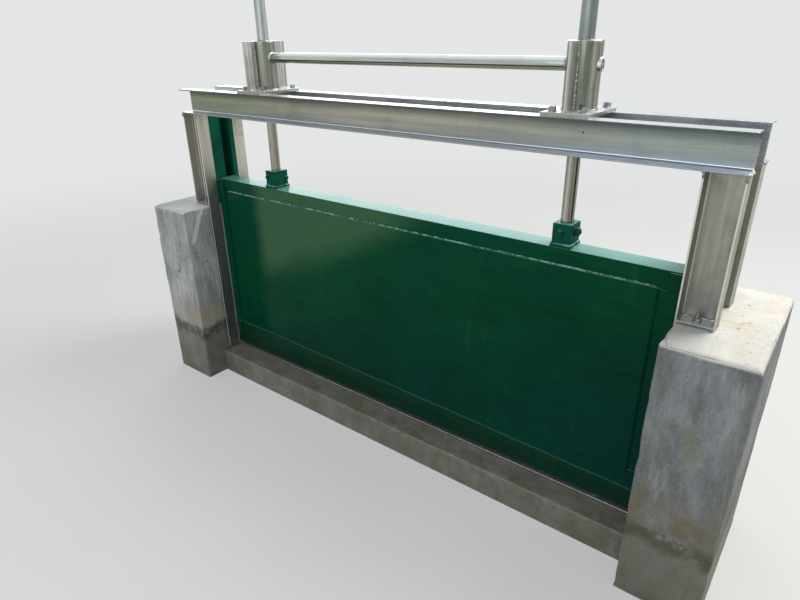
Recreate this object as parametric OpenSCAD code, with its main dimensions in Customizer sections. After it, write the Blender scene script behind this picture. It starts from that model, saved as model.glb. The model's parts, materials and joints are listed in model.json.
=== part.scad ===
// Sluice gate: a green leaf on two screw stems, held by a stainless channel frame on concrete piers.
// X runs across the canal, Y along it (the downstream side is -Y), Z up. Sizes in millimetres.

/* [Gateway] */
// Clear width between the posts, and between the piers
opening_w = 2046; // [1600:2:2600]
// Height of the concrete piers
pier_h = 855; // [780:5:1100]
// Width of a pier across the canal
pier_w = 240; // [200:5:320]
// Length of a pier along the canal
pier_d = 528; // [460:4:700]
// Rounding of the piers' top edges
pier_round = 22; // [8:1:40]
// Height of the concrete sill under the leaf
sill_h = 110; // [80:5:160]
// Length of the concrete sill along the canal
sill_d = 320; // [280:5:400]

/* [Frame] */
// Width of the U channel across its web
chan_w = 100; // [90:1:125]
// Depth of the channel's flanges
chan_d = 58; // [46:1:70]
// Thickness of the channel
chan_t = 5; // [4:0.5:8]
// Radius inside the channel's bends
chan_r = 5; // [3:0.5:8]
// Gap between the front frame and the back frame
slot_w = 128; // [124:1:150]
// Height of the posts above the concrete
post_h = 405; // [380:5:600]
// Thickness of the foot plates
foot_t = 8; // [5:1:12]

/* [Guides] */
// Width of the flat in front of the groove
land_w = 49; // [46:1:52]
// Width of the groove that the shoe runs in
groove_w = 48; // [46:1:52]
// Depth of the groove
groove_d = 47; // [42:1:52]
// Width of the lip behind the groove
lip_w = 16; // [12:1:18]
// Thickness of the guide's plate
guide_t = 5; // [3:0.5:6]
// Clearance between the shoe and the groove
shoe_clear = 5; // [5:0.5:7]

/* [Leaf] */
// Thickness of the leaf without its skin plate
leaf_t = 78; // [74:1:80]
// Distance from the front frame to the leaf
leaf_front = 8; // [6:0.5:8]
// Distance from the beams down to the top of the leaf
leaf_drop = 288; // [285:1:340]
// Gap between the leaf's end and the post
end_gap = 13; // [10:1:16]
// Width of the rim at the top and the sides
rim_w = 60; // [50:1:75]
// Height of the rim at the bottom
foot_rim_h = 150; // [110:1:160]
// Thickness of the rim's plate
rim_t = 6; // [5:0.5:8]
// Thickness of the skin plate on the front
skin_t = 6; // [4:0.5:8]
// How far the skin plate lies over the rim
skin_lap = 5; // [4:1:10]
// Thickness of the ribs at the back
rib_t = 8; // [6:0.5:12]
// Height of the rubber seal under the leaf
seal_h = 12; // [8:1:16]
// Thickness of the rubber seals at the ends
seal_t = 6; // [4:0.5:6]
// Width of the rubber seals at the ends
seal_w = 38; // [34:1:40]

/* [Stems] */
// Distance from the middle of the gate to each stem
stem_x = 655; // [480:5:700]
// Diameter of a stem
stem_d = 39.5; // [32:0.5:42]
// Distance that the leaf rises
lift = 280; // [200:5:280]
// Width of a coupling block
block_w = 60; // [56:1:70]
// Depth of a coupling block
block_d = 68; // [60:1:72]
// Height of a coupling block
block_h = 64; // [56:1:70]
// Thickness of the pad under a coupling block
pad_t = 10; // [6:1:12]

/* [Hoist] */
// Width of a base plate across the canal
plate_w = 140; // [130:1:170]
// Thickness of a base plate
plate_t = 12; // [8:1:16]
// How far a base plate lies on the back beam
plate_back = 22; // [20:1:34]
// Outside diameter of a gear housing, a length of pipe
housing_d = 97; // [92:1:106]
// Height of a gear housing
housing_h = 174; // [150:1:200]
// Thickness of the two wing plates that brace a housing
wing_t = 6; // [5:0.5:10]
// Thickness of a housing's lid
lid_t = 4; // [3:0.5:8]
// Outside diameter of a stem cover
cover_d = 44; // [44:0.5:50]
// Wall of a stem cover
cover_wall = 1.5; // [1:0.25:1.5]
// How far a stem reaches into its cover when the leaf is down
cover_over = 40; // [30:5:60]
// Diameter of the cross shaft
shaft_d = 38; // [30:1:42]
// Height of the cross shaft above the base plates
shaft_h = 118; // [100:1:125]
// Length of the crank end outside its housing
crank_len = 4; // [3:0.5:20]
// Diameter of the bore that the crank handle fits in
crank_bore = 28; // [16:1:28]

/* [Hidden] */
$fn = 48;
run_clear = 0.08; // a shaft in its bush
rod_clear = 0.4; // a stem in its bore
seat_gap = 0.3; // a seal over the sill
wing_gap = 0.1; // a wing beside its housing, filled by the weld
crank_floor = 5; // solid end of the crank's bore
bite = 1; // how far a cut runs past a face
frame_d = slot_w + 2 * chan_d;
post_x = opening_w / 2 + chan_w / 2;
web_y = slot_w / 2;
beam_z = pier_h + post_h;
plate_z = beam_z + chan_w;
plate_y0 = -frame_d / 2 + 2;
plate_y1 = web_y + plate_back;
housing_z = plate_z + plate_t;
lid_z = housing_z + housing_h;
cover_z = lid_z + lid_t;
beam_len = opening_w + 2 * chan_w;
sill_plate_t = 8;
sill_z = sill_h + sill_plate_t;
leaf_z = sill_z + seat_gap + seal_h;
leaf_top = beam_z - leaf_drop;
leaf_h = leaf_top - leaf_z;
leaf_w = opening_w - 2 * end_gap;
leaf_y0 = -web_y + leaf_front;
leaf_y1 = leaf_y0 + leaf_t;
leaf_y = (leaf_y0 + leaf_y1) / 2;
rim_z0 = leaf_z + foot_rim_h;
rim_z1 = leaf_top - rim_w;
groove_y0 = -web_y + 8 + land_w;
groove_y1 = groove_y0 + groove_w;
guide_y0 = -web_y + 8;
guide_y1 = groove_y1 + lip_w;
shoe_w = end_gap + groove_d - shoe_clear;
seal_out = end_gap - 5;
rim_r = 4;
block_z = leaf_top + pad_t;
block_top = block_z + block_h;
stem_z0 = block_z;
stem_z1 = cover_z + cover_over;
cover_h = stem_z1 - cover_z + lift + 14;
shaft_z = housing_z + shaft_h;
bearing_in = 16;
face_x = stem_x - housing_d / 2;
crank_x = stem_x + housing_d / 2;
steel = [0.62, 0.61, 0.56];
bright = [0.75, 0.77, 0.78];
green = [0.02, 0.22, 0.15];
concrete = [0.66, 0.63, 0.57];
rubber = [0.03, 0.035, 0.03];

// Outline of a U channel: w across the web, d deep, its web from y = -t to 0, open towards -y
module u_outline(w, d, t, r) {
  offset(r = -r)
    offset(delta = r)
      difference() {
        translate([-w / 2, -d])
          square([w, d]);
        translate([-w / 2 + t, -d - bite])
          square([w - 2 * t, d - t + bite]);
      }
}

module chan_outline() {
  u_outline(chan_w, chan_d, chan_t, chan_r);
}

// Lays an outline's x along -Z and runs it along X
module along_x(len) {
  rotate([0, 90, 0])
    linear_extrude(len, center = true)
      children();
}

module beam() {
  translate([0, -web_y, beam_z + chan_w / 2])
    along_x(beam_len)
      chan_outline();
}

// The front post on the +X side, from the sill up to the beam
module post() {
  translate([post_x, -web_y, 0])
    translate([0, 0, sill_h])
      linear_extrude(beam_z - sill_h)
        chan_outline();
}

// The plate at the foot of the front post on the +X side, which fills the channel
module foot() {
  translate([post_x, -web_y, pier_h])
    linear_extrude(foot_t)
      difference() {
        translate([-chan_w / 2 + chan_t, -chan_d])
          square([chan_w - 2 * chan_t, chan_d - chan_t]);
        chan_outline();
      }
}

// Plan of the guide on the +X side: a bent plate with a groove that opens towards the leaf
module guide_outline() {
  x0 = opening_w / 2;
  difference() {
    union() {
      translate([x0, guide_y0])
        square([guide_t, guide_y1 - guide_y0]);
      translate([x0, groove_y0 - guide_t])
        square([groove_d + guide_t, groove_w + 2 * guide_t]);
    }
    groove_outline();
  }
}

module groove_outline() {
  translate([opening_w / 2 - bite, groove_y0])
    square([groove_d + bite, groove_w]);
}

module guide() {
  color(green)
    translate([0, 0, sill_h])
      linear_extrude(beam_z - sill_h)
        guide_outline();
}

// The pier on the +X side: rounded along the top, cut round the steel that stands in it
module pier() {
  x0 = opening_w / 2;
  color(concrete)
    difference() {
      intersection() {
        translate([x0, 0, 0])
          rotate([90, 0, 90])
            linear_extrude(pier_w)
              top_rounded(pier_d, pier_h, pier_round);
        translate([x0 + pier_w / 2 - pier_round, 0, 0])
          rotate([90, 0, 0])
            linear_extrude(pier_d + 2 * bite, center = true)
              top_rounded(pier_w + 2 * pier_round, pier_h, pier_round);
      }
      translate([0, 0, sill_h])
        linear_extrude(pier_h) {
          both_frames()
            translate([post_x, -web_y])
              chan_outline();
          guide_outline();
          groove_outline();
        }
    }
}

// A wall's outline standing on y = 0, its two top corners rounded
module top_rounded(w, h, r) {
  intersection() {
    translate([-w / 2, 0])
      square([w, h]);
    translate([0, -r])
      offset(r = r)
        translate([-w / 2 + r, r])
          square([w - 2 * r, h - r]);
  }
}

module both_frames() {
  children();
  mirror([0, 1])
    children();
}

module on_left() {
  mirror([1, 0, 0])
    children();
}

module at_back() {
  mirror([0, 1, 0])
    children();
}

module front_beam() {
  color(steel)
    beam();
}

module back_beam() {
  color(steel)
    at_back()
      beam();
}

module front_post_right() {
  color(steel)
    post();
}

module front_post_left() {
  color(steel)
    on_left()
      post();
}

module back_post_right() {
  color(steel)
    at_back()
      post();
}

module back_post_left() {
  color(steel)
    on_left()
      at_back()
        post();
}

module foot_plate_front_right() {
  color(steel)
    foot();
}

module foot_plate_front_left() {
  color(steel)
    on_left()
      foot();
}

module foot_plate_back_right() {
  color(steel)
    at_back()
      foot();
}

module foot_plate_back_left() {
  color(steel)
    on_left()
      at_back()
        foot();
}

module guide_right() {
  guide();
}

module guide_left() {
  on_left()
    guide();
}

module pier_right() {
  pier();
}

module pier_left() {
  on_left()
    pier();
}

module sill_beam() {
  color(concrete)
    translate([-opening_w / 2, -sill_d / 2, 0])
      cube([opening_w, sill_d, sill_h]);
}

module sill_plate() {
  color(steel)
    translate([-opening_w / 2, -web_y, sill_h])
      cube([opening_w, slot_w, sill_plate_t]);
}

module base_plate(side) {
  color(steel)
    translate([side * stem_x, 0, plate_z])
      difference() {
        translate([-plate_w / 2, plate_y0, 0])
          cube([plate_w, plate_y1 - plate_y0, plate_t]);
        translate([0, leaf_y, -bite])
          cylinder(h = plate_t + 2 * bite, d = stem_d + 2 * rod_clear);
      }
}

// A length of pipe, filled but for the stem's bore and the shaft's bearings
module gear_housing(side) {
  color(steel)
    difference() {
      translate([side * stem_x, leaf_y, housing_z])
        linear_extrude(housing_h)
          housing_ring();
      shaft_hole();
    }
}

module housing_ring() {
  difference() {
    circle(d = housing_d);
    circle(d = stem_d + 2 * rod_clear);
  }
}

// Both ends of the cross shaft and the crank end turn in these blind holes
module shaft_hole() {
  for (side = [-1, 1])
    translate([side * (face_x + (bearing_in - bite) / 2), leaf_y, shaft_z])
      rotate([0, 90, 0])
        cylinder(h = bearing_in + bite, d = shaft_d + 2 * run_clear, center = true);
  translate([crank_x - bearing_in, leaf_y, shaft_z])
    rotate([0, 90, 0])
      cylinder(h = bearing_in + bite, d = shaft_d + 2 * run_clear);
}

// Two upright plates in line with the canal, from the housing to the ends of its base plate
module housing_wings(side) {
  front = leaf_y - housing_d / 2 - wing_gap - plate_y0;
  back = plate_y1 - leaf_y - housing_d / 2 - wing_gap;
  color(steel)
    translate([side * stem_x - wing_t / 2, 0, housing_z]) {
      translate([0, plate_y0, 0])
        cube([wing_t, front, housing_h + lid_t]);
      translate([0, plate_y1 - back, 0])
        cube([wing_t, back, housing_h + lid_t]);
    }
}

module housing_lid(side) {
  color(steel)
    translate([side * stem_x, leaf_y, lid_z])
      linear_extrude(lid_t)
        housing_ring();
}

module stem_cover(side) {
  color(bright)
    translate([side * stem_x, leaf_y, cover_z])
      rotate_extrude()
        difference() {
          union() {
            square([cover_d / 2, cover_h - 2]);
            square([cover_d / 2 - 2, cover_h]);
          }
          translate([-bite, -bite])
            square([cover_d / 2 - cover_wall + bite, cover_h - 4 + bite]);
        }
}

module cross_shaft() {
  color(bright)
    translate([0, leaf_y, shaft_z])
      rotate([0, 90, 0])
        cylinder(h = 2 * (face_x + bearing_in - seat_gap), d = shaft_d, center = true);
}

module crank_end() {
  len = crank_len + bearing_in - seat_gap;
  color(bright)
    translate([crank_x - bearing_in + seat_gap, leaf_y, shaft_z])
      rotate([0, 90, 0])
        difference() {
          union() {
            cylinder(h = len - 1, d = shaft_d);
            cylinder(h = len, d = shaft_d - 2);
          }
          translate([0, 0, crank_floor])
            cylinder(h = len, d = crank_bore);
        }
}

module leaf_skin() {
  w = leaf_w - 2 * rim_w + 2 * skin_lap;
  color(green)
    translate([-w / 2, leaf_y0 - skin_t, rim_z0 - skin_lap])
      cube([w, skin_t, rim_z1 - rim_z0 + 2 * skin_lap]);
}

// The top rail is a channel that opens downwards
module leaf_top_rail() {
  color(green)
    translate([0, leaf_y, leaf_top])
      rotate([90, 0, 90])
        linear_extrude(leaf_w, center = true)
          u_outline(leaf_t, rim_w, rim_t, rim_r);
}

// The bottom rail is a channel with its web at the front
module leaf_bottom_rail() {
  color(green)
    translate([0, leaf_y0, leaf_z + foot_rim_h / 2])
      along_x(leaf_w)
        mirror([0, 1])
          u_outline(foot_rim_h, leaf_t, rim_t, rim_r);
}

// A stile is a channel that opens towards the middle of the leaf
module leaf_stile() {
  color(green)
    translate([leaf_w / 2, leaf_y, rim_z0])
      linear_extrude(rim_z1 - rim_z0)
        rotate(-90)
          u_outline(leaf_t, rim_w, rim_t, rim_r);
}

module leaf_stile_right() {
  leaf_stile();
}

module leaf_stile_left() {
  on_left()
    leaf_stile();
}

module leaf_ribs() {
  color(green)
    for (x = [-1, -1 / 3, 1 / 3, 1])
      translate([x * stem_x - rib_t / 2, leaf_y0, rim_z0])
        cube([rib_t, leaf_t - rim_t, rim_z1 - rim_z0]);
}

// Flat bars between the upright ribs, halfway up
module leaf_cross_ribs() {
  mid_z = (rim_z0 + rim_z1) / 2;
  bay = 2 * stem_x / 3 - rib_t;
  end_len = leaf_w / 2 - rim_t - rim_r - stem_x - rib_t / 2;
  color(green) {
    for (i = [-1, 0, 1])
      translate([i * 2 * stem_x / 3 - bay / 2, leaf_y0, mid_z - rib_t / 2])
        cube([bay, leaf_t - rim_t - 6, rib_t]);
    for (side = [-1, 1])
      translate([side * (stem_x + rib_t / 2 + end_len / 2) - end_len / 2, leaf_y0 + rim_t, mid_z - rib_t / 2])
        cube([end_len, leaf_t - 2 * rim_t - 6, rib_t]);
  }
}

module side_seal() {
  color(rubber)
    translate([leaf_w / 2 + seal_out - seal_w, leaf_y0 - seal_t, leaf_z])
      cube([seal_w, seal_t, leaf_h - 4]);
}

module side_seal_right() {
  side_seal();
}

module side_seal_left() {
  on_left()
    side_seal();
}

module bottom_seal() {
  color(rubber)
    translate([-leaf_w / 2, leaf_y - 12, leaf_z - seal_h])
      cube([leaf_w, 24, seal_h]);
}

module guide_shoe() {
  color(green)
    translate([leaf_w / 2, groove_y0 + shoe_clear, leaf_z])
      cube([shoe_w, groove_w - 2 * shoe_clear, leaf_h - 10]);
}

module guide_shoe_right() {
  guide_shoe();
}

module guide_shoe_left() {
  on_left()
    guide_shoe();
}

// A block bored for the stem, on a pad welded to the leaf
module coupling(side) {
  color(green)
    translate([side * stem_x, leaf_y, leaf_top]) {
      translate([-block_w / 2 - 3, -leaf_t / 2, 0])
        cube([block_w + 6, leaf_t, pad_t]);
      translate([0, 0, pad_t])
        linear_extrude(block_h)
          difference() {
            square([block_w, block_d], center = true);
            circle(d = stem_d + 2 * run_clear);
          }
    }
}

module stem(side) {
  color(bright)
    translate([side * stem_x, leaf_y, stem_z0]) {
      cylinder(h = stem_z1 - stem_z0 - 3, d = stem_d);
      cylinder(h = stem_z1 - stem_z0, d = stem_d - 6);
    }
}

front_beam();
back_beam();
front_post_left();
front_post_right();
back_post_left();
back_post_right();
foot_plate_front_left();
foot_plate_front_right();
foot_plate_back_left();
foot_plate_back_right();
guide_left();
guide_right();
pier_left();
pier_right();
sill_beam();
sill_plate();
base_plate(-1);  // base_plate_left
base_plate(1);  // base_plate_right
gear_housing(-1);  // gear_housing_left
gear_housing(1);  // gear_housing_right
housing_wings(-1);  // housing_wings_left
housing_wings(1);  // housing_wings_right
housing_lid(-1);  // housing_lid_left
housing_lid(1);  // housing_lid_right
stem_cover(-1);  // stem_cover_left
stem_cover(1);  // stem_cover_right
cross_shaft();
crank_end();
leaf_skin();
leaf_top_rail();
leaf_bottom_rail();
leaf_stile_left();
leaf_stile_right();
leaf_ribs();
leaf_cross_ribs();
side_seal_left();
side_seal_right();
bottom_seal();
guide_shoe_left();
guide_shoe_right();
coupling(-1);  // coupling_left
coupling(1);  // coupling_right
stem(-1);  // stem_left
stem(1);  // stem_right
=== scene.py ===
import json
import math
import random

import bmesh
import bpy
from mathutils import Matrix, Vector, noise

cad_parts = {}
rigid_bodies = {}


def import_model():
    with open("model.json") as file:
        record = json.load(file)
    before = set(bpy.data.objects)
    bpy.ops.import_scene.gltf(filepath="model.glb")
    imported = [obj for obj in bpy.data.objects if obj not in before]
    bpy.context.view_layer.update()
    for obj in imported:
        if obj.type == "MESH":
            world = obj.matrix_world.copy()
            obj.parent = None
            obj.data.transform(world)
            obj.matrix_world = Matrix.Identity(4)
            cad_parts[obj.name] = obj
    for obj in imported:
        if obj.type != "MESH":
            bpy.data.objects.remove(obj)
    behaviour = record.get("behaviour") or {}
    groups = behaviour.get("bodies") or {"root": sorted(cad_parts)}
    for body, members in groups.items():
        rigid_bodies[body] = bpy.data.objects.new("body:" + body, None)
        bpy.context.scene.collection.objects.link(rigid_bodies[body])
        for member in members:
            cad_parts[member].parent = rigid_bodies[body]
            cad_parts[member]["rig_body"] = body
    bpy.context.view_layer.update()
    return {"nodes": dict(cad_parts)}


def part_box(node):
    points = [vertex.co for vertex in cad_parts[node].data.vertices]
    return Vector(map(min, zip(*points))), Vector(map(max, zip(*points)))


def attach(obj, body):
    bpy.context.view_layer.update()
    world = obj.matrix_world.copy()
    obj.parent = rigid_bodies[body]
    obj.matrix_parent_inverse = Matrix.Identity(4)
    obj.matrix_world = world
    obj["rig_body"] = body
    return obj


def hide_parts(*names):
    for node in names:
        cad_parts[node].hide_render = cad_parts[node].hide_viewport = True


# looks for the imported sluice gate: metres, X across the canal, Y upstream, Z up
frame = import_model()
cad = frame["nodes"]
bodyOf = {name: item["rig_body"] for name, item in cad.items()}
scene = bpy.context.scene
scene.view_settings.view_transform = "Standard"


# an output socket; arithmetic on it adds Math nodes
class Wire:
    def __init__(self, shader, socket):
        self.shader, self.socket = shader, socket

    def maths(self, operation, a, b, clamp=False):
        return self.shader.node("Math", {"operation": operation, "use_clamp": clamp}, {0: a, 1: b})

    def __add__(self, other):
        return self.maths("ADD", self, other)

    __radd__ = __add__

    def __sub__(self, other):
        return self.maths("SUBTRACT", self, other)

    def __rsub__(self, other):
        return self.maths("SUBTRACT", other, self)

    def __mul__(self, other):
        return self.maths("MULTIPLY", self, other)

    __rmul__ = __mul__

    def __abs__(self):
        return self.maths("ABSOLUTE", self, 0.0)

    def clamped(self):
        return self.maths("ADD", self, 0.0, clamp=True)


def scaled(factor, parts):
    return tuple(factor * part for part in parts)


# the node tree of a material or the world
class Shader:
    def __init__(self, owner):
        self.owner = owner
        owner.use_nodes = True
        self.tree = owner.node_tree
        self.tree.nodes.clear()

    # any node: its type, its settings, then the values or wires of its sockets
    def node(self, kind, settings=None, sockets=None, out=0):
        made = self.tree.nodes.new("ShaderNode" + kind)
        for key, value in (settings or {}).items():
            setattr(made, key, value)
        for key, value in (sockets or {}).items():
            if isinstance(value, Wire):
                self.tree.links.new(value.socket, made.inputs[key])
            else:
                made.inputs[key].default_value = (*value, 1.0) if made.inputs[key].type == "RGBA" else value
        return Wire(self, made.outputs[out]) if made.outputs else None

    def place(self):
        return self.node("TexCoord", out="Object")

    def noise(self, scale, detail=3.0, rough=0.55, vector=None, distortion=0.0, out=0):
        return self.node("TexNoise", None, {"Vector": vector or self.place(), "Scale": scale, "Detail": detail,
                                            "Roughness": rough, "Distortion": distortion}, out)

    # noise with a scale of its own along each axis
    def streaks(self, scale, detail, rough, shift=(0, 0, 0), turn=(0, 0, 0), distortion=0.0):
        drawn = self.node("Mapping", None, {"Vector": self.place(), "Location": shift, "Rotation": turn,
                                            "Scale": scale})
        return self.noise(1.0, detail, rough, drawn, distortion)

    # 0 below low, 1 above high, smooth between them
    def step(self, value, low, high):
        return self.node("MapRange", {"interpolation_type": "SMOOTHSTEP"},
                         {"Value": value, "From Min": low, "From Max": high})

    # 1 below low, 0 above high
    def fall(self, value, low, high):
        return 1 - self.step(value, low, high)

    # rises over the first two values and falls over the last two
    def between(self, value, a, b, c, d):
        return self.step(value, a, b) * self.fall(value, c, d)

    def mix(self, factor, a, b, blend="MIX"):
        return self.node("Mix", {"data_type": "RGBA", "blend_type": blend}, {0: factor, 6: a, 7: b}, out=2)

    # a colour with layers over it, each a mask and the name of its colour in the look
    def layered(self, colour, look, *layers):
        for mask, name in layers:
            colour = self.mix(mask, colour, look[name])
        return colour

    # a colour multiplied by a tone as far as the factor says
    def toned(self, factor, colour, tone):
        return self.mix(factor, colour, tone, "MULTIPLY")

    def axis(self, which, vector=None):
        return self.node("SeparateXYZ", None, {0: vector or self.place()}, out="XYZ".index(which))

    def facing(self, which):
        return self.axis(which, self.node("NewGeometry", out="Normal"))

    def ray(self, kind):
        return self.node("LightPath", out=f"Is {kind} Ray")

    # 1 on outer edges of the given radius, 0 on flats
    def edges(self, radius):
        rounded = self.node("Bevel", {"samples": 4}, {"Radius": radius})
        flat = self.node("NewGeometry", out="Normal")
        match = self.node("VectorMath", {"operation": "DOT_PRODUCT"}, {0: rounded, 1: flat}, out="Value")
        return self.step(1 - match, 0.01, 0.12)

    # the height is in metres
    def surface(self, colour, roughness, height, more=None):
        normal = self.node("Bump", None, {"Height": height, "Strength": 1.0, "Distance": 1.0})
        sockets = {"Base Color": colour, "Roughness": roughness.clamped(), "Normal": normal}
        self.output(self.node("BsdfPrincipled", None, sockets | (more or {})))
        return self.owner

    def output(self, wire, kind="OutputMaterial"):
        self.node(kind, None, {"Surface": wire})


def newShader(name):
    return Shader(bpy.data.materials.new(name))


def meshOf(shape, name):
    mesh = bpy.data.meshes.new(name)
    shape.to_mesh(mesh)
    shape.free()
    return mesh


# camera, floor and light
cameraFit = {"place": (1.3286, -1.6994, 1.5804), "yaw": 38.166, "pitch": 24.353, "roll": 0.884, "lens": 26.8}
studio = {
    "floorRadius": 60, "floor": (0.72, 0.72, 0.7), "floorPatch": (0.66, 0.66, 0.64), "back": (0.78, 0.79, 0.79),
    "fadeFrom": 1.6, "fadeTo": 7.0, "nearGlow": 0.45, "ambient": (0.95, 0.98, 1.0), "ambientLevel": 0.44,
    "behindWay": (0.62, -0.78), "behindCamera": (0.38, 0.4, 0.39), "overhead": (0.98, 1.0, 1.0),
}
lamps = {
    "key": {"place": (2.3, 2.2, 4.6), "target": (0.1, 0, 0.7), "size": (2.6, 2.6), "watts": 235,
            "colour": (1.0, 0.975, 0.93)},
    "fill": {"place": (0.6, -5.0, 2.6), "target": (0, 0, 0.8), "size": (5.0, 3.0), "watts": 72,
             "colour": (0.94, 0.97, 1.0)},
    "gloss": {"place": (-6.4, 7.6, 3.6), "target": (0, 0, 1.1), "size": (8.0, 3.4), "watts": 260,
              "colour": (0.93, 0.97, 1.0)},
}


def makeCamera(fit):
    yaw, pitch, roll = (math.radians(fit[key]) for key in ("yaw", "pitch", "roll"))
    ahead = Vector((-math.sin(yaw) * math.cos(pitch), math.cos(yaw) * math.cos(pitch), -math.sin(pitch)))
    level = Vector((math.cos(yaw), math.sin(yaw), 0))
    below = ahead.cross(level)
    right = math.cos(roll) * level + math.sin(roll) * below
    down = -math.sin(roll) * level + math.cos(roll) * below
    lens = bpy.data.cameras.new("camera")
    lens.sensor_width = 36
    lens.lens = fit["lens"]
    lens.clip_end = 200
    camera = bpy.data.objects.new("camera", lens)
    turn = Matrix((right, -down, -ahead)).transposed().to_4x4()
    camera.matrix_world = Matrix.Translation(fit["place"]) @ turn
    scene.collection.objects.link(camera)
    scene.camera = camera


def makeFloor():
    shape = bmesh.new()
    bmesh.ops.create_circle(shape, cap_ends=True, segments=96, radius=studio["floorRadius"])
    floor = bpy.data.objects.new("floor", meshOf(shape, "floor"))
    scene.collection.objects.link(floor)
    s = newShader("studioFloor")
    away = s.node("VectorMath", {"operation": "LENGTH"}, {0: s.place()}, out="Value")
    seen = (s.ray("Camera") + s.ray("Glossy") + s.ray("Transmission")).clamped()
    distant = s.step(away, studio["fadeFrom"], studio["fadeTo"])
    far = seen * (studio["nearGlow"] + (1 - studio["nearGlow"]) * distant)
    colour = s.mix(s.noise(1.3, 4.0), studio["floor"], studio["floorPatch"])
    matt = s.node("BsdfDiffuse", None, {"Color": colour})
    glow = s.node("Emission", None, {"Color": studio["back"], "Strength": 1.0})
    s.output(s.node("MixShader", None, {0: far, 1: matt, 2: glow}))
    floor.data.materials.append(s.owner)


def makeWorld():
    s = Shader(bpy.data.worlds.new("studio"))
    camera = s.ray("Camera")
    seen = (camera + s.ray("Glossy") + s.ray("Transmission")).clamped()
    way = s.node("TexCoord", out="Generated")
    behindX, behindY = studio["behindWay"]
    behind = s.step(s.axis("X", way) * behindX + s.axis("Y", way) * behindY, 0.05, 0.75)
    around = s.mix(behind, studio["back"], studio["behindCamera"])
    around = s.mix(s.step(s.axis("Z", way), 0.25, 0.8), around, studio["overhead"])
    colour = s.mix(camera, around, studio["back"])
    pale = s.node("Background", None, {"Color": colour, "Strength": 1.0})
    light = s.node("Background", None, {"Color": studio["ambient"], "Strength": studio["ambientLevel"]})
    s.output(s.node("MixShader", None, {0: seen, 1: light, 2: pale}), "OutputWorld")
    scene.world = s.owner


def makeLamp(name, look):
    light = bpy.data.lights.new(name, "AREA")
    light.shape = "RECTANGLE"
    light.size, light.size_y = look["size"]
    light.energy = look["watts"]
    light.color = look["colour"]
    holder = bpy.data.objects.new(name, light)
    holder.location = look["place"]
    aim = Vector(look["target"]) - Vector(look["place"])
    holder.rotation_euler = aim.to_track_quat("-Z", "Y").to_euler()
    holder.visible_camera = False
    scene.collection.objects.link(holder)


makeCamera(cameraFit)
makeFloor()
makeWorld()
for lampName, lampLook in lamps.items():
    makeLamp(lampName, lampLook)
print("stage: camera, floor, world and lamps made")

# steel; some looks add painted light and shade to single places: across, lighter and darker
# tones from left to right; a tone low down, painted shade, and shadow, a painted shadow, by
# height; under, painted shade below; front, painted shade on faces to -Y; rim, painted reflection
# on rounded corners; toe, a painted highlight or shade on the flange tips; fillet, a painted
# highlight on upright corners; inward, painted light on post faces that look to the right; top,
# the pale colour of top faces, a painted highlight
channelLook = {
    "dark": (0.275, 0.28, 0.255), "pale": (0.385, 0.39, 0.36), "grime": (0.19, 0.185, 0.155),
    "grimeShare": 0.4, "rust": (0.16, 0.1, 0.055), "rustShare": 0.2, "edge": (0.66, 0.67, 0.66),
    "edgeWearAndHighlightShare": 0.85, "metallic": 0.85, "smooth": 0.24, "dull": 0.42, "cloud": 3.2, "grain": 0.6,
    "top": (0.7, 0.76, 0.8), "paintedTopLightShare": 0.85, "toeReach": 0.1175, "lower": 1.31,
}
# the front beam: painted light and shade along it, low on its web, under its top flange, on its corners and
# flange tips
beamLook = dict(
    channelLook, across=((0.78, 0.86, 0.66), (1.16, 1.12, 1.0), (0.88, 0.97, 0.98)),
    paintedLowShade=(1.264, 1.305, (0.98, 1.03, 1.24)), shadow=(1.316, 1.352, (0.3, 0.33, 0.33)),
    rim=((0.1, 0.105, 0.11), (0.86, 0.88, 1.0)), toe=((0.1, 0.105, 0.11), (0.3, 0.3, 0.36)))
# the back beam's steel is painted paler and bluer than the front beam's, painted light against the shade
# between the beams, with painted shade on its corners and flange tips
backBeamLook = dict(
    channelLook, dark=(0.46, 0.48, 0.53), pale=(0.6, 0.63, 0.69),
    rim=((0.12, 0.125, 0.13), (0.5, 0.51, 0.56)), toe=((0.16, 0.165, 0.175), (0.3, 0.3, 0.34)))
# the posts: painted shade low down, painted highlights on the flange tips and fillets, and painted light on
# faces that look to the right
postLook = dict(
    channelLook, dark=(0.3, 0.29, 0.25), pale=(0.42, 0.41, 0.36), grimeShare=0.6, rustShare=0.5,
    smooth=0.36, dull=0.6, paintedLowShade=(0.72, 1.02, (0.74, 0.82, 0.93)), lower=0.9,
    toe=((0.78, 0.76, 0.68), (0.62, 0.62, 0.58)), fillet=(0.72, 0.69, 0.58),
    inward={"hollow": (1.85, 1.85, 1.95), "outer": (1.3, 1.29, 1.27), "leftPosts": (-0.9, -0.8),
            "hollowEnd": (-1.09, -1.07), "outerFoot": (0.9, 1.0), "line": (-0.0875, -0.0845, -0.0815, -0.0785),
            "highlightLineGain": 1.35, "rightPosts": (0.9, 1.0), "backPosts": (0.05, 0.06)})
# the housing pipes: faces to -Y painted darker, a painted shade, and vertical bands of painted reflection
housingLook = dict(
    channelLook, dark=(0.2, 0.21, 0.175), pale=(0.43, 0.445, 0.39), grimeShare=0.35, rustShare=0.35,
    smooth=0.15, dull=0.34, cloud=9.0, grain=0.5, front=(0.6, 0.62, 0.58),
    bands=(52, (0.165, 0.145, 0.11), (0.62, 0.65, 0.6)))
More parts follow.
